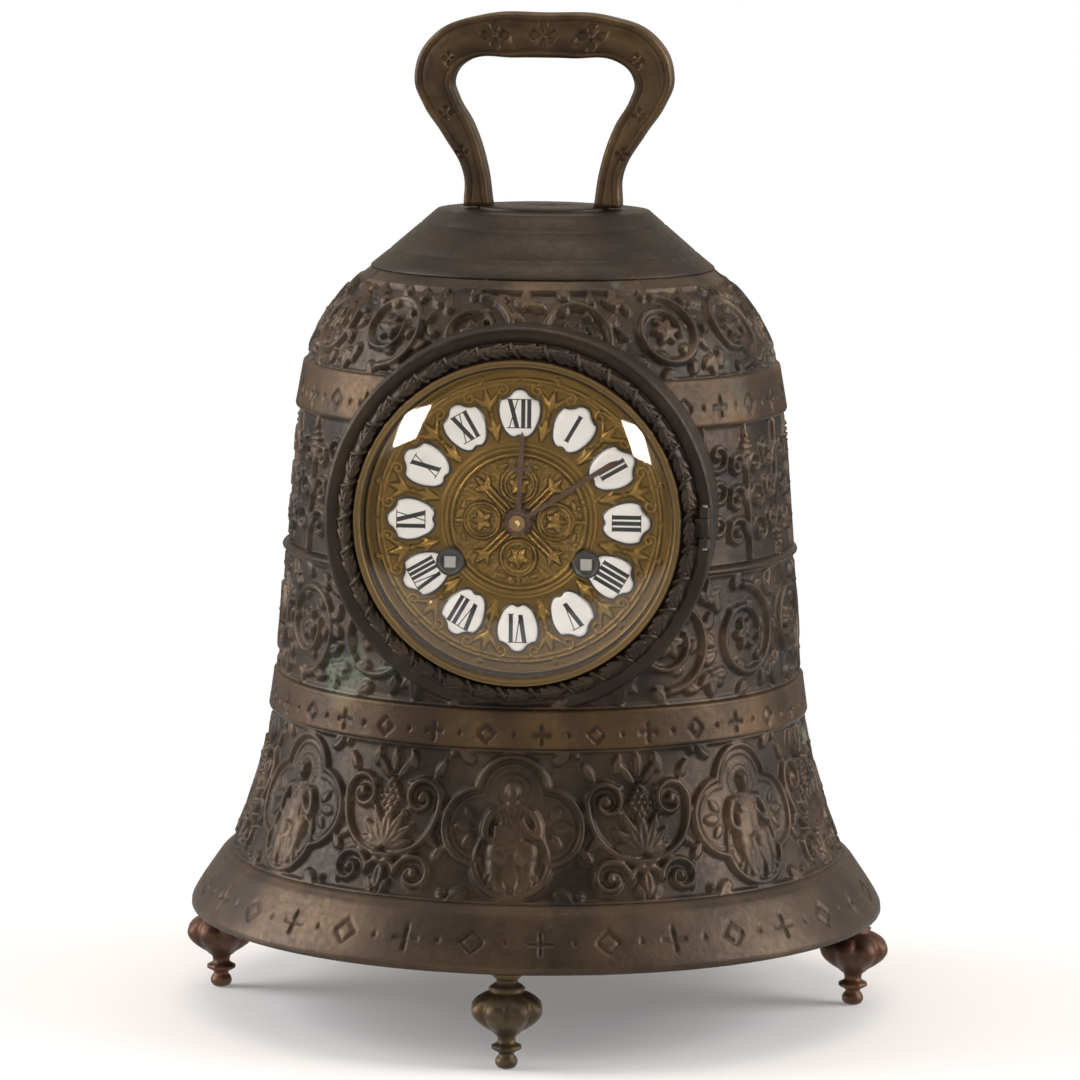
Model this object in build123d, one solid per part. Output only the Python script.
"""Bell-shaped mantel clock: a cast bronze bell case on four turned feet, with a striking pendulum movement.

Millimetres. +Z is up, the dial faces -Y, and the origin is on the floor under the middle of the case.
"""
import math
import os

from build123d import *

# Driving sizes of the case
foot_height = 29.2
rim_radius = 106.0
rim_height = 15.7
frieze_height = 46.2
band_height = 11.5
mid_height = 80.7
upper_band_height = 14.1
shoulder_height = 28.6
crown_height = 17.3
ridge_radius = 96.2
lower_band_radius = 81.4
lower_band_taper = 1.4
upper_band_radius = 73.7
upper_band_taper = 2.5
shoulder_radius = 52.0
top_plate_radius = 32.2
top_disc_radius = 20.0
top_disc_step = 1.0
case_wall = 3.5
rim_wall = 7.0
band_proud = 0.8

# Driving sizes of the carrying handle
handle_height = 58.2
handle_half_width = 39.0
handle_foot_half_width = 23.8
handle_leg_width = 8.2
handle_bar_height = 13.3
handle_depth = 14.0
handle_waist = 11.6
handle_bevel = 1.2
handle_steps = 16
handle_tenon_radius = 3.0
handle_tenon_length = 12.0
handle_leg_x = handle_foot_half_width - handle_leg_width / 2

# Driving sizes of the feet
foot_circle_radius = 98.0
foot_ball_radius = 10.4
foot_lobes = 8
foot_stud_radius = 2.5
foot_stud_length = 6.0
foot_boss_radius = 4.5
foot_boss_height = 7.0
foot_groove = 2.2
foot_places = {
    "foot_front": (0.0, -foot_circle_radius),
    "foot_right": (foot_circle_radius, 0.0),
    "foot_rear": (0.0, foot_circle_radius),
    "foot_left": (-foot_circle_radius, 0.0),
}

# Driving sizes of the dial opening and the two doors
dial_height = 157.5
opening_radius = 50.0
collar_radius = 57.0
collar_face = 78.2
door_radius = 52.6
door_thickness = 3.5
door_recess_gap = 0.6
bezel_wall = 3.4
bezel_depth = 14.2
flange_thickness = 0.8
running_gap = 0.1
glass_radius = 46.6
glass_thickness = 1.2
glass_rise = 2.2
sight_lip = 1.1
hinge_pin_radius = 0.9
hinge_knuckle_radius = 1.9
hinge_knuckle_length = 6.0
hinge_offset = 1.8
hinge_clear = 0.3
latch_radius = 4.0
latch_tongue = 8.0
latch_place = 41.0
latch_depth = 2.2

# Driving sizes of the dial and hands
dial_radius = 46.4
dial_thickness = 1.0
dial_setback = 4.2
dial_centre_radius = 19.6
dial_centre_rise = 0.6
cartouche_circle = 31.5
cartouche_height = 14.5
cartouche_width = 11.7
cartouche_thickness = 1.0
hour_count = 12
ferrule_radius = 3.9
ferrule_bore = 3.1
ferrule_thickness = 1.0
hour_hand_length = 26.5
minute_hand_length = 34.5
hand_thickness = 0.6
hour_hand_angle = 2.0
minute_hand_angle = 57.0

# Driving sizes of the movement
plate_thickness = 2.0
front_plate_gap = 7.0
plate_spacing = 32.0
back_plate_radius = 44.0
pillar_radius = 2.6
pillar_circle = 39.5
pivot_clearance = 0.05
pivot_radius = 0.5
arbor_radius = 0.6
end_shake = 0.3
barrel_x = 19.9
barrel_z = -12.3
barrel_radius = 16.8
barrel_length = 19.0
barrel_wall = 1.0
barrel_arbor_radius = 2.4
barrel_core_radius = 5.0
winding_square = 3.4
ratchet_teeth = 24
ratchet_radius = 7.5
wheel_thickness = 1.2
pinion_extra = 1.2
spring_strip = 0.4
spring_turns = 5

# Tooth form: depths in modules, widths as shares of the pitch
wheel_tooth_rise = 0.8
wheel_tooth_depth = 1.2
wheel_tooth_share = 0.45
leaf_rise = 0.4
leaf_depth = 1.4
leaf_share = 0.30
leaf_tip_share = 0.16

# Driving sizes of the escapement, pendulum, bell and hammer
escape_teeth = 36
escape_radius = 9.0
escape_x = 0.0
escape_z = 25.0
anchor_rise = 12.0
pallet_gap = 0.55
pendulum_length = 120.0
pendulum_rod_radius = 1.0
pendulum_offset = 8.0
bob_radius = 14.0
bob_thickness = 7.0
rating_nut_radius = 3.6
rating_nut_height = 3.0
bell_radius = 31.0
bell_depth = 12.5
bell_wall = 1.4
bell_gap = 14.5
hammer_x = -31.5
hammer_z = 22.0
hammer_arm = 18.4
hammer_head_radius = 2.6
strap_width = 9.0
strap_thickness = 2.0

# Levels up the case
z_rim = foot_height
z_ridge = z_rim + rim_height
z_band = z_ridge + frieze_height
z_mid = z_band + band_height
z_upper = z_mid + mid_height
z_shoulder = z_upper + upper_band_height
z_crown = z_shoulder + shoulder_height
z_top = z_crown + crown_height

# Depths from front to back, with the dial facing -Y
y_collar = -collar_face
y_flange = y_collar - flange_thickness
y_door_back = y_flange - running_gap
y_door_front = y_door_back - door_thickness
y_dial = y_collar + dial_setback
y_dial_back = y_dial + dial_thickness
y_plate = y_dial_back + front_plate_gap
y_front = y_plate + plate_thickness
y_back = y_front + plate_spacing
y_back_plate = y_back + plate_thickness
y_pendulum = y_back_plate + pendulum_offset
y_bell_mouth = y_back_plate + bell_gap
y_bell_crown = y_bell_mouth + bell_depth

hinge_x = door_radius + hinge_offset
hinge_depth = collar_face + hinge_knuckle_radius + hinge_clear
escape_centre = (escape_x, escape_z)
anchor_centre = (escape_x, escape_z + anchor_rise)
suspension_z = dial_height + anchor_centre[1]


def save(name, shape):
    """Write one node, with a group of separate solids kept as a compound."""
    os.makedirs("parts", exist_ok=True)
    export_step(shape, f"parts/{name}.step")


def slab(sketch, y_front_face, y_back_face):
    """Extrude a sketch, drawn about the dial's centre, between two depths."""
    plane = Plane(origin=(0, y_back_face, dial_height), x_dir=(1, 0, 0), z_dir=(0, -1, 0))
    return extrude(plane * sketch, amount=y_back_face - y_front_face)


def rod(radius, y_start, y_end, x=0.0, z=0.0):
    """Round bar along Y, placed from the dial's centre."""
    return slab(Pos(x, z) * Circle(radius), y_start, y_end)


def tube(outer, inner, y_start, y_end, x=0.0, z=0.0):
    """Round tube along Y, placed from the dial's centre."""
    return slab(Pos(x, z) * (Circle(outer) - Circle(inner)), y_start, y_end)


def turned(points, about_dial=False):
    """Revolve a closed outline of (radius, height) about Z, or of (radius, depth) about the dial's axis."""
    if about_dial:
        wire = Polyline(*[(r, y, dial_height) for r, y in points], close=True)
        return revolve(make_face(wire), axis=Axis((0, 0, dial_height), (0, 1, 0)))
    wire = Polyline(*[(r, 0, z) for r, z in points], close=True)
    return revolve(make_face(wire), axis=Axis.Z)


def polar(radius, angle):
    """Point at an angle in degrees, counted from +X towards +Z."""
    return (radius * math.cos(math.radians(angle)), radius * math.sin(math.radians(angle)))


def bearing(start, end):
    """Angle in degrees of the line from one centre to another."""
    return math.degrees(math.atan2(end[1] - start[1], end[0] - start[0]))


def case_outline():
    """Outer line of the case from the rim up to the top plate, as edges in the XZ plane."""
    rim_top = (ridge_radius + band_proud, z_ridge)
    rim_bulge = (rim_radius - 2.3, z_rim + 0.38 * rim_height)
    frieze_low = (ridge_radius - 2.2, z_ridge + 2.6)
    frieze_high = (lower_band_radius, z_band)
    frieze_mid = (85.9, z_ridge + 0.55 * frieze_height)
    mid_low = (lower_band_radius - lower_band_taper, z_mid)
    mid_high = (upper_band_radius, z_upper)
    shoulder_low = (upper_band_radius - upper_band_taper, z_shoulder)
    shoulder_mid = (0.87 * upper_band_radius, z_shoulder + 0.55 * shoulder_height)
    shoulder_high = (shoulder_radius, z_crown)
    top_edge = (top_plate_radius, z_top)
    return [
        ThreePointArc((rim_radius, z_rim), rim_bulge, rim_top),
        Line(rim_top, frieze_low),
        ThreePointArc(frieze_low, frieze_mid, frieze_high),
        Line(frieze_high, (frieze_high[0] + band_proud, z_band + band_proud)),
        Line((frieze_high[0] + band_proud, z_band + band_proud), (mid_low[0] + band_proud, z_mid - band_proud)),
        Line((mid_low[0] + band_proud, z_mid - band_proud), mid_low),
        Line(mid_low, mid_high),
        Line(mid_high, (mid_high[0] + band_proud, z_upper + band_proud)),
        Line((mid_high[0] + band_proud, z_upper + band_proud), (shoulder_low[0] + band_proud, z_shoulder)),
        Line((shoulder_low[0] + band_proud, z_shoulder), shoulder_low),
        ThreePointArc(shoulder_low, shoulder_mid, shoulder_high),
        Line(shoulder_high, top_edge),
        Line(top_edge, (top_disc_radius, z_top)),
        Line((top_disc_radius, z_top), (top_disc_radius, z_top + top_disc_step)),
        Line((top_disc_radius, z_top + top_disc_step), (0, z_top + top_disc_step)),
    ]


def cavity_points():
    """Inner line of the case: (radius, height) pairs."""
    return [
        (0, z_rim - 1),
        (rim_radius - rim_wall, z_rim - 1),
        (rim_radius - rim_wall, z_rim + 2),
        (ridge_radius - rim_wall, z_ridge + 8),
        (lower_band_radius - case_wall, z_band + 2),
        (upper_band_radius - case_wall, z_upper),
        (upper_band_radius - upper_band_taper - case_wall - 3, z_shoulder + 5),
        (shoulder_radius - case_wall - 3, z_crown - 3),
        (top_plate_radius - case_wall, z_top - 1.6 * case_wall),
        (0, z_top - 1.6 * case_wall),
    ]


def bell_case():
    """Cast bell with a round collar at the front and back, open at the bottom."""
    edges = case_outline()
    edges.append(Line((0, z_top + top_disc_step), (0, z_rim)))
    edges.append(Line((0, z_rim), (rim_radius, z_rim)))
    flat = make_face(edges)
    bell = revolve(Plane.XZ * flat, axis=Axis.Z)
    collar = rod(collar_radius, y_collar, collar_face)
    inner = turned(cavity_points())
    bell = bell + collar - inner
    bell -= rod(opening_radius, y_collar - 20, collar_face + 20)
    recess = door_radius + door_recess_gap
    bell -= rod(recess, y_collar - 20, y_collar)
    bell -= rod(recess, collar_face, collar_face + 20)
    knuckle_room = hinge_knuckle_radius + door_recess_gap
    for side in (-1, 1):
        y_room = side * (collar_face + 10)
        bell -= Pos(hinge_x, y_room, dial_height) * Box(2 * knuckle_room, 20, 2.4 * hinge_knuckle_length)
    for x in (-1, 1):
        bell -= Pos(x * handle_leg_x, 0, z_top) * Cylinder(handle_tenon_radius + pivot_clearance, 30)
    for x, y in foot_places.values():
        bell += Pos(x, y, z_rim + foot_boss_height / 2) * Cylinder(foot_boss_radius, foot_boss_height)
        hole = foot_stud_length + end_shake
        bell -= Pos(x, y, z_rim + hole / 2) * Cylinder(foot_stud_radius + pivot_clearance, hole)
    return bell


def handle_curve(points, start, end):
    """Points along one smooth side of the handle, mirrored to both sides."""
    side = Spline(*points, tangents=(start, end))
    half = [side @ (i / handle_steps) for i in range(handle_steps + 1)]
    run = [(p.X, p.Y) for p in half]
    return run + [(-x, z) for x, z in reversed(run[:-1])]


def carry_handle():
    """Flat lyre-shaped handle with bevelled edges and a tenon under each leg."""
    h = handle_height
    w = handle_half_width
    base = z_top + top_disc_step
    inner_w = w - handle_waist
    outer = [
        (handle_foot_half_width, base),
        (handle_foot_half_width + 0.2, base + 0.17 * h),
        (0.78 * w, base + 0.37 * h),
        (w, base + 0.67 * h),
        (0.86 * w, base + 0.88 * h),
        (0.5 * w, base + 0.985 * h),
        (0, base + h),
    ]
    foot_in = handle_foot_half_width - handle_leg_width
    inner = [
        (foot_in, base),
        (foot_in + 1.9, base + 0.21 * h),
        (0.79 * inner_w, base + 0.42 * h),
        (inner_w, base + 0.655 * h),
        (0.8 * inner_w, base + h - handle_bar_height - 1.4),
        (0.3 * inner_w, base + h - handle_bar_height - 0.2),
        (0, base + h - handle_bar_height),
    ]
    along = (-1, 0)
    outline = handle_curve(outer, (0, 1), along) + handle_curve(inner, (0.15, 1), along)[::-1]
    plane = Plane(origin=(0, handle_depth / 2, 0), x_dir=(1, 0, 0), z_dir=(0, -1, 0))
    body = extrude(plane * make_face(Polyline(*outline, close=True)), amount=handle_depth)
    sides = body.faces().sort_by(Axis.Y)
    rims = (sides[0].edges() + sides[-1].edges()).filter_by(lambda edge: edge.center().Z > base + handle_bevel)
    body = chamfer(rims, handle_bevel)
    tenon = Cylinder(handle_tenon_radius, handle_tenon_length)
    for x in (-1, 1):
        body += Pos(x * handle_leg_x, 0, base - handle_tenon_length / 2) * tenon
    return body


def handle_nuts():
    """Nuts on the handle's tenons, under the top of the case."""
    nuts = []
    z_under = z_top - 1.6 * case_wall
    for x in (-1, 1):
        nut = Cylinder(handle_tenon_radius + 2.4, 3.0) - Cylinder(handle_tenon_radius, 3.0)
        nuts.append(Pos(x * handle_leg_x, 0, z_under - 1.5) * nut)
    return Compound(nuts)


def foot(x, y):
    """Turned foot: stud, collar, lobed ball, octagon flange and end knob."""
    r = foot_ball_radius
    h = foot_height
    profile = [
        (0, h), (3.0, h), (3.0, h - 1.5), (2.4, h - 2.8), (4.6, h - 5.2), (0.86 * r, h - 7.4),
        (r, h - 11.0), (0.93 * r, h - 14.6), (0.6 * r, h - 18.2), (2.6, h - 20.2), (2.6, h - 21.6),
        (4.4, h - 23.2), (2.3, h - 25.2), (3.0, h - 26.6), (2.8, 0.8), (2.0, 0), (0, 0),
    ]
    body = turned(profile)
    groove_z = h - 11.4
    for i in range(foot_lobes):
        turn = 360 / foot_lobes * (i + 0.5)
        cut = Rot(0, 0, turn) * Pos(r + foot_groove / 2, 0, groove_z) * Rot(0, 0, 45) * Box(foot_groove, foot_groove, 13)
        body -= cut
    body += Pos(0, 0, h + foot_stud_length / 2) * Cylinder(foot_stud_radius, foot_stud_length)
    return Pos(x, y, 0) * body


def fixed_bezel(side):
    """Brass ring seated in the case's opening, with its hinge lugs; side is -1 at the front, 1 at the back."""
    face = side * collar_face
    deep = side * (collar_face - bezel_depth)
    y_low, y_high = sorted((face, deep))
    ring = tube(opening_radius - running_gap, opening_radius - bezel_wall, y_low, y_high)
    y_low, y_high = sorted((face, face + side * flange_thickness))
    ring += tube(door_radius, opening_radius - bezel_wall, y_low, y_high)
    axis_y = side * hinge_depth
    long = hinge_knuckle_length * 0.5 - running_gap
    tab = 2 * hinge_offset + 1.0
    for end in (-1, 1):
        z = dial_height + end * hinge_knuckle_length * 0.75
        ring += Pos(hinge_x - tab / 2, side * (collar_face + flange_thickness / 2), z) * Box(tab, flange_thickness, long)
        ring += Pos(hinge_x, axis_y, z) * Cylinder(hinge_knuckle_radius, long)
    ring -= Pos(hinge_x, axis_y, dial_height) * Cylinder(hinge_pin_radius, 4 * hinge_knuckle_length)
    if side > 0:
        slot_y = y_door_shift(1) - latch_depth / 2 - 0.3
        ring -= Pos(-opening_radius + 1.5, slot_y, dial_height) * Box(5.0, latch_depth, 1.4 * latch_tongue)
    return ring


def y_door_shift(side):
    """Depth of the back face of a door."""
    return side * (collar_face + flange_thickness + running_gap)


def hinge_pins():
    """The two hinge pins, front and back."""
    pins = []
    for side in (-1, 1):
        pin = Cylinder(hinge_pin_radius, 2 * hinge_knuckle_length + 1)
        pins.append(Pos(hinge_x, side * hinge_depth, dial_height) * pin)
    return Compound(pins)


def door_knuckle(side, thickness):
    """Middle knuckle of a door hinge, with the lug that joins it to the door."""
    axis_y = side * hinge_depth
    long = hinge_knuckle_length - 2 * running_gap
    back = y_door_shift(side)
    lug = Pos(hinge_x - 1.6, back + side * thickness / 2, dial_height) * Box(3.2, thickness, long)
    knuckle = lug + Pos(hinge_x, axis_y, dial_height) * Cylinder(hinge_knuckle_radius, long)
    return knuckle - Pos(hinge_x, axis_y, dial_height) * Cylinder(hinge_pin_radius + pivot_clearance, 30)


def bezel_ring():
    """Door ring that carries the leaf moulding."""
    inner = glass_radius + sight_lip
    profile = [
        (inner, y_door_back), (door_radius, y_door_back), (door_radius, y_door_back - 1.4),
        (door_radius - 1.2, y_door_front + 0.3), (door_radius - 2.6, y_door_front),
        (inner + 0.6, y_door_front + 0.8), (inner, y_door_front + 1.2),
    ]
    return turned(profile, about_dial=True) + door_knuckle(-1, door_thickness - 1.0)


def sight_ring():
    """Inner brass ring that holds the glass in the door."""
    outer = glass_radius + sight_lip
    profile = [
        (outer, y_door_back), (outer, y_door_front - 0.2), (outer - 0.7, y_door_front - 0.7),
        (glass_radius - 1.0, y_door_front + 0.1), (glass_radius - 1.0, y_door_front + 0.8),
        (glass_radius, y_door_front + 0.8), (glass_radius, y_door_back),
    ]
    return turned(profile, about_dial=True)


def dial_glass():
    """Domed glass with a bevelled edge, seated behind the lip of the sight ring."""
    edge = y_door_front + 0.8
    r = glass_radius
    bevel = r - 3
    steps = 6
    dome = []
    for i in range(steps + 1):
        share = 1 - i / steps
        dome.append((bevel * share, edge - glass_rise * (1 - share ** 2)))
    back = [(x, y + glass_thickness) for x, y in reversed(dome)]
    return turned([(r, edge)] + dome + back + [(r, edge + glass_thickness)], about_dial=True)


def cartouche_sketch(shrink=0.0):
    """Shield of an hour: lobed outer tip, bulging sides and a hollow inner end, centred and upright."""
    h = cartouche_height / 2 - shrink
    w = cartouche_width / 2 - shrink
    right = [
        ThreePointArc((0, h), (0.25 * w, 0.95 * h), (0.42 * w, 0.8 * h)),
        ThreePointArc((0.42 * w, 0.8 * h), (0.66 * w, 0.64 * h), (0.97 * w, 0.55 * h)),
        ThreePointArc((0.97 * w, 0.55 * h), (w, 0), (0.72 * w, -0.75 * h)),
        ThreePointArc((0.72 * w, -0.75 * h), (0.4 * w, -0.96 * h), (0.22 * w, -0.97 * h)),
        ThreePointArc((0.22 * w, -0.97 * h), (0.1 * w, -0.92 * h), (0, -0.9 * h)),
    ]
    left = [mirror(e, about=Plane.YZ) for e in right]
    return make_face(right + left)


def hour_place(i, sketch):
    """Put an upright sketch at an hour, turned to stand along the radius."""
    turn = 90 - 360 / hour_count * i
    x, z = polar(cartouche_circle, turn)
    return Pos(x, z) * Rot(0, 0, turn - 90) * sketch


def dial_plate():
    """Pressed brass dial with seats for the hour shields, winding holes and its fixing feet."""
    face = Circle(dial_radius) - Circle(hour_pipe_radius + 0.6)
    for side in (-1, 1):
        face -= Pos(side * barrel_x, barrel_z) * Circle(ferrule_bore + 0.4)
    plate = slab(face, y_dial, y_dial_back)
    centre = Circle(dial_centre_radius) - Circle(dial_centre_radius - 1.2)
    raised = slab(centre, y_dial - dial_centre_rise, y_dial)
    for side in (-1, 1):
        raised -= rod(ferrule_radius + 0.1, y_dial - 5, y_dial_back, side * barrel_x, barrel_z)
    plate += raised
    rim = Circle(dial_radius) - Circle(dial_radius - 2.0)
    plate += slab(rim, y_dial - 0.5, y_dial)
    for i in range(3):
        x, z = polar(dial_radius - 6, 90 + 120 * i + 60)
        plate += rod(1.2, y_dial_back, y_plate, x, z)
    return plate


def enamel_cartouches():
    """Twelve enamel shields lying on the dial."""
    shape = cartouche_sketch()
    shields = []
    for i in range(hour_count):
        flat = hour_place(i, shape)
        for side in (-1, 1):
            flat -= Pos(side * barrel_x, barrel_z) * Circle(ferrule_radius + pivot_clearance)
        shields.append(slab(flat, y_dial - cartouche_thickness, y_dial))
    return Compound(shields)


def winding_ferrules():
    """Black rings round the two winding holes."""
    rings = []
    for side in (-1, 1):
        ring = tube(ferrule_radius, ferrule_bore, y_dial - ferrule_thickness, y_dial, side * barrel_x, barrel_z)
        ring += tube(ferrule_bore + 0.4, ferrule_bore, y_dial, y_dial_back, side * barrel_x, barrel_z)
        rings.append(ring)
    return Compound(rings)


# Pipes at the middle of the dial
centre_front_radius = 1.0
cannon_bore = centre_front_radius + pivot_clearance
cannon_radius = 1.8
hour_pipe_bore = cannon_radius + pivot_clearance
hour_pipe_radius = 2.7
y_hour_hand = y_dial - 2.6
y_minute_hand = y_hour_hand - 1.4
y_nut = y_minute_hand - hand_thickness


def hand_sketch(length, ornament, hub):
    """Slim tapering hand along +Y with a small cross-shaped ornament."""
    blade = make_face(Polyline((-0.55, 0), (0.55, 0), (0.75, 0.93 * length), (0, length), (-0.75, 0.93 * length), close=True))
    shape = blade + Circle(hub)
    if ornament:
        at = 0.58 * length
        shape += Pos(0, at) * Rectangle(5.0, 0.9)
        shape += Pos(0, at + 1.5) * Circle(1.1)
        for side in (-1, 1):
            shape += Pos(side * 2.6, at + 0.3) * Circle(0.9)
    return shape


def hour_hand():
    """Hour hand with its collet on the hour pipe."""
    shape = Rot(0, 0, -hour_hand_angle) * hand_sketch(hour_hand_length, True, hour_pipe_radius + 1.2)
    shape -= Circle(hour_pipe_radius)
    return slab(shape, y_hour_hand, y_hour_hand + hand_thickness)


def minute_hand():
    """Minute hand on the cannon pinion's end."""
    shape = Rot(0, 0, -minute_hand_angle) * hand_sketch(minute_hand_length, False, cannon_radius + 1.6)
    shape -= Circle(cannon_radius)
    return slab(shape, y_minute_hand, y_minute_hand + hand_thickness)


def hand_nut():
    """Round brass nut that holds the minute hand."""
    return tube(2.3, centre_front_radius + pivot_clearance, y_nut - 1.2, y_nut)


def wheel_outline(teeth, module, phase):
    """Toothed rim with slim pointed teeth, one of them centred on the phase angle."""
    pitch = 360 / teeth
    root = module * (teeth / 2 - wheel_tooth_depth)
    tip = module * (teeth / 2 + wheel_tooth_rise)
    half = wheel_tooth_share * pitch / 2
    points = []
    for i in range(teeth):
        at = phase + i * pitch
        points += [polar(root, at - half), polar(tip, at), polar(root, at + half)]
    return make_face(Polyline(*points, close=True))


def pinion_outline(leaves, module, phase):
    """Pinion with thin leaves, one gap centred on the phase angle."""
    pitch = 360 / leaves
    root = module * (leaves / 2 - leaf_depth)
    tip = module * (leaves / 2 + leaf_rise)
    half = leaf_share * pitch / 2
    half_tip = leaf_tip_share * pitch / 2
    points = []
    for i in range(leaves):
        at = phase + (i + 0.5) * pitch
        points += [polar(root, at - half), polar(tip, at - half_tip), polar(tip, at + half_tip), polar(root, at + half)]
    return make_face(Polyline(*points, close=True))


def crossed(sketch, outer, inner, arms=4):
    """Cut the windows between the arms of a wheel."""
    windows = Circle(outer) - Circle(inner)
    for i in range(arms // 2):
        windows -= Rot(0, 0, 180 / (arms // 2) * i + 20) * Rectangle(2.4 * outer, 0.16 * outer + 0.4)
    return sketch - windows


def wheel(teeth, module, centre, phase, y_mid_wheel, bore=0.0):
    """Spoked brass wheel between two depths, placed from the dial's centre."""
    root = module * (teeth / 2 - wheel_tooth_depth)
    flat = crossed(wheel_outline(teeth, module, phase), root - 1.2, 2.6)
    if bore:
        flat -= Circle(bore)
    half = wheel_thickness / 2
    return slab(Pos(*centre) * flat, y_mid_wheel - half, y_mid_wheel + half)


def pinion(leaves, module, centre, phase, y_mid_wheel, bore=0.0):
    """Pinion a little longer than the wheel that drives it."""
    flat = pinion_outline(leaves, module, phase)
    if bore:
        flat -= Circle(bore)
    half = wheel_thickness / 2 + pinion_extra
    return slab(Pos(*centre) * flat, y_mid_wheel - half, y_mid_wheel + half)


def arbor(centre, radius=arbor_radius, front=0.0, back=0.0):
    """Steel arbor between the plates with a pivot at each end; front and back lengthen its ends past the plates."""
    body = rod(radius, y_front + end_shake, y_back - end_shake, *centre)
    body += rod(pivot_radius, y_plate - front, y_front + end_shake, *centre)
    body += rod(pivot_radius, y_back - end_shake, y_back_plate + back, *centre)
    return body


def meshed(centre, module, teeth, leaves, angle):
    """Centre of a pinion in mesh with a wheel, at an angle from the wheel's centre."""
    reach = module * (teeth + leaves) / 2
    x, z = polar(reach, angle)
    return (centre[0] + x, centre[1] + z)


def triangle_point(a, b, reach_a, reach_b, side):
    """Point at two given distances from two centres; side picks which of the two."""
    gap = math.dist(a, b)
    along = (reach_a ** 2 - reach_b ** 2 + gap ** 2) / (2 * gap)
    off = math.sqrt(reach_a ** 2 - along ** 2) * side
    ux = (b[0] - a[0]) / gap
    uz = (b[1] - a[1]) / gap
    return (a[0] + along * ux - off * uz, a[1] + along * uz + off * ux)


# Trains: (wheel teeth, pinion leaves, module) of each mesh
great_mesh = (60, 10, 0.60)
intermediate_mesh = (60, 10, 0.42)
centre_mesh = (72, 6, 0.36)
third_mesh = (72, 6, 0.33)
strike_great_mesh = (60, 10, 0.60)
strike_second_mesh = (60, 8, 0.40)
pin_mesh = (60, 6, 0.33)
warning_mesh = (48, 6, 0.30)
cannon_mesh = (36, 12, 0.50)
hour_mesh = (40, 10, 0.48)


def reach_of(mesh):
    """Centre distance of a mesh."""
    return mesh[2] * (mesh[0] + mesh[1]) / 2


middle = (0.0, 0.0)
going = (barrel_x, barrel_z)
strike = (-barrel_x, barrel_z)
intermediate = triangle_point(middle, going, reach_of(intermediate_mesh), reach_of(great_mesh), 1)
third = triangle_point(middle, escape_centre, reach_of(centre_mesh), reach_of(third_mesh), 1)
second = meshed(strike, strike_great_mesh[2], strike_great_mesh[0], strike_great_mesh[1], 100)
pin = meshed(second, strike_second_mesh[2], strike_second_mesh[0], strike_second_mesh[1], 60)
warning = meshed(pin, pin_mesh[2], pin_mesh[0], pin_mesh[1], 75)
fly_centre = meshed(warning, warning_mesh[2], warning_mesh[0], warning_mesh[1], 170)
minute_centre = (0.0, -reach_of(cannon_mesh))
hammer_centre = (hammer_x, hammer_z)

# Depths of the wheels between the plates, from the back face of the front plate
y_barrel = y_front + 3.0
y_barrel_end = y_barrel + barrel_length
y_great = y_barrel_end - 1.0
y_second = y_front + 25.8
y_centre_wheel = y_front + 28.6
y_third = y_front + 8.5
y_escape = y_front + 27.5
y_pin = y_front + 16.5
y_warning = y_front + 10.5
y_minute_wheel = y_plate - 2.5
y_hour_wheel = y_dial_back + 1.8


def barrel(centre, driven, mesh):
    """Spring barrel: toothed drum, hollow, with a bore for its arbor."""
    phase = bearing(centre, driven)
    drum = rod(barrel_radius, y_barrel, y_barrel_end, *centre)
    drum += slab(Pos(*centre) * wheel_outline(mesh[0], mesh[2], phase), y_great - 1.0, y_great + 1.0)
    inside = barrel_radius - barrel_wall
    drum -= rod(inside, y_barrel + barrel_wall, y_barrel_end - 2.4, *centre)
    drum -= rod(barrel_arbor_radius + pivot_clearance, y_barrel - 1, y_barrel_end + 1, *centre)
    return drum


def mainspring(centre):
    """Flat coiled spring, wound out from near the arbor to the drum's wall."""
    start = barrel_core_radius + 0.4
    end = barrel_radius - barrel_wall - 0.3 - spring_strip
    steps = 14 * spring_turns
    inner = []
    outer = []
    for i in range(steps + 1):
        share = i / steps
        radius = start + (end - start) * share
        angle = 360 * spring_turns * share
        inner.append(polar(radius, angle))
        outer.append(polar(radius + spring_strip, angle))
    strip = make_face(Polyline(*inner, *reversed(outer), close=True))
    front = y_barrel + barrel_wall + 0.4
    back = y_barrel_end - 2.4 - 0.4
    return slab(Pos(*centre) * strip, front, back)


def barrel_arbor(centre):
    """Winding arbor with its square at the front, and the core that takes the spring."""
    body = rod(barrel_arbor_radius, y_plate, y_back_plate, *centre)
    body += rod(barrel_core_radius, y_barrel + barrel_wall + 0.3, y_barrel_end - 2.4 - 0.3, *centre)
    square = Pos(*centre) * Rectangle(winding_square, winding_square)
    body += slab(square, y_dial - 0.4, y_plate)
    return body


def ratchet_sketch():
    """Ratchet with saw teeth and one gap floor towards +X."""
    pitch = 360 / ratchet_teeth
    points = []
    for i in range(ratchet_teeth):
        at = i * pitch
        points += [polar(ratchet_radius - ratchet_tooth_depth, at), polar(ratchet_radius, at + 0.86 * pitch)]
    return make_face(Polyline(*points, close=True))


y_ratchet = y_plate - 1.7
ratchet_thickness = 1.2
ratchet_tooth_depth = 0.9
click_reach = 11.5
click_fall = 40
click_screw_radius = 1.0


def ratchet(centre):
    """Ratchet wheel on the winding square."""
    flat = ratchet_sketch() - Rectangle(winding_square, winding_square)
    return slab(Pos(*centre) * flat, y_ratchet, y_ratchet + ratchet_thickness)


def click_pivot(centre, side):
    """Place of a click's screw beside its ratchet."""
    x, z = polar(click_reach, -click_fall)
    return (centre[0] + side * x, centre[1] + z)


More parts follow.
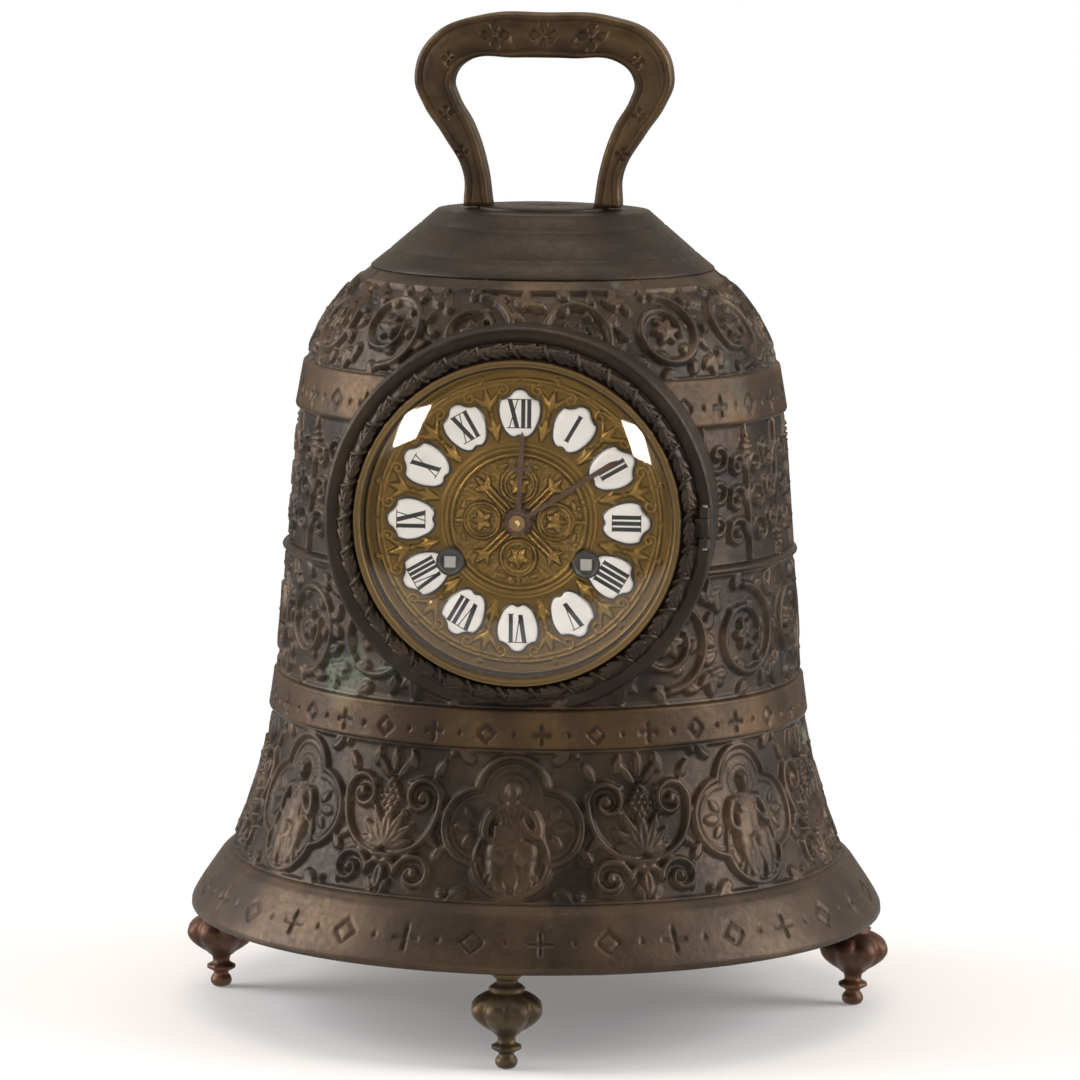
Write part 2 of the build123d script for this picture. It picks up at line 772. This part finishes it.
def click(centre):
    """Click: a pivoted pawl whose tip lies in a gap of the ratchet."""
    pivot = click_pivot(centre, 1)
    floor = ratchet_radius - ratchet_tooth_depth
    spots = [(floor + 0.18, 0), (ratchet_radius + 2.4, 9), (ratchet_radius + 1.1, -4)]
    tip, outer, low = [(centre[0] + x, centre[1] + z) for x, z in (polar(*spot) for spot in spots)]
    right = (pivot[0] + 1.2, pivot[1])
    under = (pivot[0] - 0.4, pivot[1] - 1.2)
    arm = make_face(Polyline(tip, outer, right, under, low, close=True))
    body = slab(arm + Pos(*pivot) * Circle(1.9), y_ratchet, y_ratchet + ratchet_thickness)
    return body - rod(click_screw_radius + pivot_clearance, y_ratchet - 2, y_ratchet + 4, *pivot)


def train_wheel(centre, mesh_in, wheel_in, own_mesh, wheel_out, y_in, y_out, front=0.0, back=0.0):
    """Arbor with the pinion that is driven from one centre and the wheel that drives another."""
    body = arbor(centre, arbor_radius, front, back)
    body += pinion(mesh_in[1], mesh_in[2], centre, bearing(centre, wheel_in), y_in)
    body += wheel(own_mesh[0], own_mesh[2], centre, bearing(centre, wheel_out), y_out)
    return body


def centre_wheel():
    """Centre arbor with its pinion, wheel and the long front end that carries the hands."""
    body = train_wheel(middle, intermediate_mesh, intermediate, centre_mesh, third, y_second, y_centre_wheel)
    return body + rod(centre_front_radius, y_nut - 1.6, y_front + end_shake, *middle)


def escape_outline():
    """Escape wheel with raked teeth, a gap between teeth towards the anchor."""
    pitch = 360 / escape_teeth
    points = []
    for i in range(escape_teeth):
        at = 90 + (i + 0.5) * pitch
        points += [polar(escape_radius - 1.2, at - 0.32 * pitch), polar(escape_radius, at - 0.06 * pitch),
                   polar(escape_radius - 1.2, at + 0.18 * pitch)]
    return make_face(Polyline(*points, close=True))


def escape_wheel():
    """Escape wheel on its arbor, driven by the third wheel."""
    body = arbor(escape_centre)
    body += pinion(third_mesh[1], third_mesh[2], escape_centre, bearing(escape_centre, third), y_third)
    flat = crossed(escape_outline(), escape_radius - 2.2, 2.0)
    half = wheel_thickness / 2
    return body + slab(Pos(*escape_centre) * flat, y_escape - half, y_escape + half)


def pallet_anchor():
    """Anchor with two pallets over the escape wheel, on its arbor."""
    ax, az = anchor_centre
    spread = math.degrees(math.acos(escape_radius / anchor_rise))
    tip_r = escape_radius + pallet_gap
    body = arbor(anchor_centre, 0.9, 0.0, 3.4)
    ex, ez = escape_centre
    right_tip = polar(tip_r, 90 - spread)
    outer_tip = polar(tip_r + 0.2, 90 - spread - 5)
    shape = [
        (ax, az + 1.6), (ax + 3.2, az + 0.4), (ax + 7.6, az - 3.4),
        (ex + outer_tip[0], ez + outer_tip[1]), (ex + right_tip[0], ez + right_tip[1]),
        (ax + 5.0, az - 3.2), (ax + 2.4, az - 1.6), (ax, az - 1.4),
    ]
    left = [(2 * ax - x, z) for x, z in reversed(shape[1:-1])]
    flat = make_face(Polyline(*shape, *left, close=True))
    half = wheel_thickness / 2
    return body + slab(flat, y_escape - half, y_escape + half)


def crutch():
    """Crutch behind the back plate, with a fork round the pendulum rod."""
    ax, az = anchor_centre
    y0 = y_back_plate + 1.4
    arm = Pos(ax, az - 12.5) * Rectangle(1.6, 27) + Pos(ax, az) * Circle(2.2) - Pos(ax, az) * Circle(pivot_radius)
    body = slab(arm, y0, y0 + 1.2)
    for side in (-1, 1):
        x = ax + side * (pendulum_rod_radius + 0.3 + 0.5)
        body += slab(Pos(x, az - 24.5) * Rectangle(1.0, 2.6), y0 + 1.2, y_pendulum + 2.2)
        body += slab(Pos(ax + side * 1.2, az - 24.5) * Rectangle(2.2, 2.6), y0, y0 + 1.2)
    return body


def plates():
    """Front and back plates with a hole for every pivot."""
    small = [intermediate, third, escape_centre, second, pin, warning, fly_centre, anchor_centre, hammer_centre]
    front = slab(Circle(opening_radius - bezel_wall - running_gap), y_plate, y_front)
    back = slab(Circle(back_plate_radius), y_back, y_back_plate)
    for spot in small:
        front -= rod(pivot_radius + pivot_clearance, y_plate - 1, y_front + 1, *spot)
        back -= rod(pivot_radius + pivot_clearance, y_back - 1, y_back_plate + 1, *spot)
    for spot in (going, strike):
        front -= rod(barrel_arbor_radius + pivot_clearance, y_plate - 1, y_front + 1, *spot)
        back -= rod(barrel_arbor_radius + pivot_clearance, y_back - 1, y_back_plate + 1, *spot)
    front -= rod(centre_front_radius + pivot_clearance, y_plate - 1, y_front + 1, *middle)
    back -= rod(pivot_radius + pivot_clearance, y_back - 1, y_back_plate + 1, *middle)
    for spot in (click_pivot(going, 1), click_pivot(strike, -1)):
        front += rod(click_screw_radius, y_ratchet - 0.3, y_plate, *spot)
    front += rod(0.8, y_minute_wheel - 4.4, y_plate, *minute_centre)
    return front, back


pillar_angles = (45, 172, 242, 298)


def plate_pillars():
    """Turned pillars that hold the plates apart."""
    pillars = []
    for angle in pillar_angles:
        pillars.append(rod(pillar_radius, y_front, y_back, *polar(pillar_circle, angle)))
    return Compound(pillars)


def movement_straps():
    """Two long straps that tie the front bezel to the rear one through the case."""
    straps = []
    y_end = collar_face - bezel_depth
    mid = opening_radius - bezel_wall + strap_thickness / 2 + 0.3
    for side in (-1, 1):
        straps.append(Pos(side * mid, 0, dial_height) * Box(strap_thickness, 2 * y_end, strap_width))
    return Compound(straps)


def movement_screws():
    """Screws at the back of the pillars."""
    screws = []
    for angle in pillar_angles:
        screws.append(rod(2.2, y_back_plate, y_back_plate + 1.4, *polar(pillar_circle, angle)))
    return Compound(screws)


def cannon_pinion():
    """Cannon pinion that turns with the minute hand."""
    leaves, module = cannon_mesh[1], cannon_mesh[2]
    body = tube(cannon_radius, cannon_bore, y_minute_hand, y_plate - 0.3)
    phase = bearing(middle, minute_centre)
    return body + pinion(leaves, module, middle, phase, y_minute_wheel, cannon_bore)


def minute_wheel():
    """Minute wheel and its pinion, on a stud of the front plate."""
    bore = 0.8 + pivot_clearance
    body = wheel(cannon_mesh[0], cannon_mesh[2], minute_centre, bearing(minute_centre, middle), y_minute_wheel, bore)
    flat = pinion_outline(hour_mesh[1], hour_mesh[2], bearing(minute_centre, middle)) - Circle(bore)
    top = y_hour_wheel - wheel_thickness / 2 - 0.4
    return body + slab(Pos(*minute_centre) * flat, top, y_minute_wheel - wheel_thickness / 2)


def hour_wheel():
    """Hour wheel with the pipe that carries the hour hand."""
    body = wheel(hour_mesh[0], hour_mesh[2], middle, bearing(middle, minute_centre), y_hour_wheel, hour_pipe_bore)
    return body + tube(hour_pipe_radius, hour_pipe_bore, y_hour_hand, y_hour_wheel + wheel_thickness / 2)


def second_wheel():
    """Second strike wheel, whose arbor reaches back for the count wheel."""
    body = train_wheel(second, strike_great_mesh, strike, strike_second_mesh, pin, y_great, y_second, 0.0, 2.6)
    return body


def count_wheel():
    """Notched count wheel behind the back plate."""
    flat = Circle(11.0) - Circle(pivot_radius)
    turn = 0
    for hour in range(1, hour_count + 1):
        turn += (hour + 1) * 4
        x, z = polar(11.0, turn)
        flat -= Pos(x, z) * Rot(0, 0, turn) * Rectangle(2.4, 1.2)
    flat = flat - (Circle(8.6) - Circle(2.6) - Rectangle(30, 2.0) - Rectangle(2.0, 30))
    return slab(Pos(*second) * flat, y_back_plate + 0.6, y_back_plate + 1.8)


def pin_wheel():
    """Pin wheel that lifts the hammer's tail."""
    body = train_wheel(pin, strike_second_mesh, second, pin_mesh, warning, y_second, y_pin)
    for i in range(10):
        x, z = polar(pin_mesh[0] * pin_mesh[2] / 2 - 1.0, 36 * i)
        body += rod(0.4, y_pin + 0.6, y_pin + 3.0, pin[0] + x, pin[1] + z)
    return body


def warning_wheel():
    """Warning wheel that drives the fly."""
    return train_wheel(warning, pin_mesh, pin, warning_mesh, fly_centre, y_pin, y_warning)


def fly():
    """Fly: an arbor with a long vane that brakes the strike by the air."""
    body = arbor(fly_centre)
    body += pinion(warning_mesh[1], warning_mesh[2], fly_centre, bearing(fly_centre, warning), y_warning)
    vane = Rot(0, 0, 25) * Rectangle(11.4, 0.5)
    return body + slab(Pos(*fly_centre) * (vane + Circle(1.2)), y_pin + 3.0, y_back - 2.4)


y_hammer = y_bell_mouth + 1.5


def hammer():
    """Hammer arbor with its tail, its arm behind the plate and its head beside the bell."""
    hx, hz = hammer_centre
    body = arbor(hammer_centre, 0.8, 0.0, y_hammer - y_back_plate + 1.2)
    tail = Pos(hx + 1.9, hz - 0.2) * Rectangle(4.6, 1.0)
    body += slab(tail, y_pin + 1.6, y_pin + 2.8)
    arm_turn = 257
    head = polar(hammer_arm, arm_turn)
    mid = (hx + head[0] / 2, hz + head[1] / 2)
    arm = Pos(*mid) * Rot(0, 0, arm_turn) * Rectangle(hammer_arm, 1.3)
    body += slab(arm + Pos(hx, hz) * Circle(1.8), y_hammer - 0.7, y_hammer + 0.7)
    body += rod(hammer_head_radius, y_hammer - 2.4, y_hammer + 2.4, hx + head[0], hz + head[1])
    return body


def strike_bell():
    """Shallow bell behind the movement, mouth forwards."""
    r = bell_radius
    outer = [(r, y_bell_mouth), (0.93 * r, y_bell_mouth + 0.45 * bell_depth), (0.7 * r, y_bell_mouth + 0.82 * bell_depth),
             (0.35 * r, y_bell_mouth + 0.98 * bell_depth), (5.0, y_bell_crown), (2.05, y_bell_crown)]
    w = bell_wall
    inner = [(2.05, y_bell_crown - w), (5.0, y_bell_crown - w), (0.35 * r, y_bell_mouth + 0.98 * bell_depth - w),
             (0.7 * r - 0.6 * w, y_bell_mouth + 0.82 * bell_depth - 0.9 * w),
             (0.93 * r - w, y_bell_mouth + 0.45 * bell_depth - 0.3 * w), (r - w, y_bell_mouth)]
    return turned(outer + inner, about_dial=True)


bell_post = (14.0, -14.0)


def bell_stand():
    """Post from the back plate with a bridge and a stud that carries the bell."""
    y_bridge = y_bell_mouth + 2.0
    body = rod(2.6, y_back_plate, y_back_plate + 1.5, *bell_post)
    body += rod(1.8, y_back_plate, y_bridge + 2.0, *bell_post)
    bar = Pos(bell_post[0] / 2, bell_post[1] / 2) * Rot(0, 0, -45) * Rectangle(math.hypot(*bell_post) + 3, 4.0)
    body += slab(bar, y_bridge, y_bridge + 2.0)
    body += rod(3.2, y_bridge + 2.0, y_bell_crown - bell_wall)
    body += rod(2.0, y_bell_crown - bell_wall, y_bell_crown + 1.0)
    body += rod(3.6, y_bell_crown, y_bell_crown + 2.2)
    return body


def suspension_block():
    """Cock on the back plate from which the pendulum hangs."""
    z = anchor_centre[1] + 5.0
    foot_block = Pos(0, z) * Rectangle(12, 5.0)
    body = slab(foot_block, y_back_plate, y_pendulum + 3.4)
    body += slab(Pos(0, z + 0.2) * Rectangle(5.0, 7.6), y_pendulum - 3.0, y_pendulum + 3.4)
    body -= rod(pivot_radius + 0.9, y_back_plate - 1, y_back_plate + 4, *anchor_centre)
    return body


def suspension_spring():
    """Thin suspension strip, wide along Y so that it bends sideways."""
    top = suspension_z + 0.9
    low = suspension_z - 7.0
    strip = Pos(0, y_pendulum, (top + low) / 2) * Box(0.2, 4.4, top - low)
    clamp = Pos(0, y_pendulum, low - 1.5) * Box(3.0, 4.4, 3.0)
    return strip + clamp


def pendulum_rod():
    """Rod from the suspension clamp down through the bob, threaded below it."""
    top = suspension_z - 10.0
    low = suspension_z - pendulum_length - bob_radius - 9.0
    return Pos(0, y_pendulum, (top + low) / 2) * Cylinder(pendulum_rod_radius, top - low)


def pendulum_bob():
    """Lens-shaped bob, bored for the rod."""
    r = bob_radius
    t = bob_thickness / 2
    z = suspension_z - pendulum_length
    arc_front = ThreePointArc((r, -0.6), (0.6 * r, -0.72 * t - 0.3), (0, -t))
    arc_back = ThreePointArc((0, t), (0.6 * r, 0.72 * t + 0.3), (r, 0.6))
    edges = [arc_front, Line((0, -t), (0, t)), arc_back, Line((r, 0.6), (r, -0.6))]
    lens = revolve(make_face(edges), axis=Axis.Y)
    lens = Pos(0, y_pendulum, z) * lens
    return lens - Pos(0, y_pendulum, z) * Cylinder(pendulum_rod_radius, 3 * r)


def rating_nut():
    """Round nut under the bob that sets the rate."""
    z = suspension_z - pendulum_length - bob_radius - rating_nut_height / 2 - 0.3
    nut = Cylinder(rating_nut_radius, rating_nut_height) - Cylinder(pendulum_rod_radius + pivot_clearance, 20)
    return Pos(0, y_pendulum, z) * nut


def rear_door():
    """Plain domed rear door with its knuckle."""
    back = y_door_shift(1)
    r = door_radius
    profile = [(0, back), (r, back), (r, back + 1.2), (r - 4, back + 1.9), (0, back + 2.3)]
    door = turned(profile, about_dial=True)
    door -= rod(1.2 + pivot_clearance, back - 5, back + 9, -latch_place, 0)
    return door + door_knuckle(1, 1.2)


def rear_latch():
    """Turn button of the rear door, with its tongue inside."""
    back = y_door_shift(1)
    outside = back + 2.5
    body = rod(latch_radius, outside, outside + 1.8, -latch_place, 0)
    body += slab(Pos(-latch_place, 0) * Rectangle(1.8, 2 * latch_radius + 1.0), outside + 1.8, outside + 4.0)
    inside = back - latch_depth
    body += rod(1.2, inside, outside, -latch_place, 0)
    tongue = Pos(-latch_place, latch_tongue / 2 - 1.5) * Rectangle(2.6, latch_tongue)
    return body + slab(tongue, inside, inside + 1.4)


front_plate, back_plate = plates()
save("bell_case", bell_case())
save("carry_handle", carry_handle())
save("handle_nuts", handle_nuts())
for name, place in foot_places.items():
    save(name, foot(*place))
save("front_bezel", fixed_bezel(-1))
save("rear_bezel", fixed_bezel(1))
save("hinge_pins", hinge_pins())
save("bezel_ring", bezel_ring())
save("sight_ring", sight_ring())
save("dial_glass", dial_glass())
save("dial_plate", dial_plate())
save("enamel_cartouches", enamel_cartouches())
save("winding_ferrules", winding_ferrules())
save("hour_hand", hour_hand())
save("minute_hand", minute_hand())
save("hand_nut", hand_nut())
save("front_plate", front_plate)
save("back_plate", back_plate)
save("plate_pillars", plate_pillars())
save("movement_straps", movement_straps())
save("movement_screws", movement_screws())
save("cannon_pinion", cannon_pinion())
save("minute_wheel", minute_wheel())
save("hour_wheel", hour_wheel())
save("going_barrel", barrel(going, intermediate, great_mesh))
save("going_mainspring", mainspring(going))
save("going_barrel_arbor", barrel_arbor(going))
save("going_ratchet", ratchet(going))
save("going_click", click(going))
save("intermediate_wheel",
     train_wheel(intermediate, great_mesh, going, intermediate_mesh, middle, y_great, y_second))
save("centre_wheel", centre_wheel())
save("third_wheel", train_wheel(third, centre_mesh, middle, third_mesh, escape_centre, y_centre_wheel, y_third))
save("escape_wheel", escape_wheel())
save("pallet_anchor", pallet_anchor())
save("crutch", crutch())
save("suspension_block", suspension_block())
save("suspension_spring", suspension_spring())
save("pendulum_rod", pendulum_rod())
save("pendulum_bob", pendulum_bob())
save("rating_nut", rating_nut())
save("strike_barrel", barrel(strike, second, strike_great_mesh))
save("strike_mainspring", mainspring(strike))
save("strike_barrel_arbor", barrel_arbor(strike))
save("strike_ratchet", mirror(ratchet(going), about=Plane.YZ))
save("strike_click", mirror(click(going), about=Plane.YZ))
save("strike_second_wheel", second_wheel())
save("count_wheel", count_wheel())
save("pin_wheel", pin_wheel())
save("warning_wheel", warning_wheel())
save("fly", fly())
save("hammer", hammer())
save("strike_bell", strike_bell())
save("bell_stand", bell_stand())
save("rear_door", rear_door())
save("rear_latch", rear_latch())
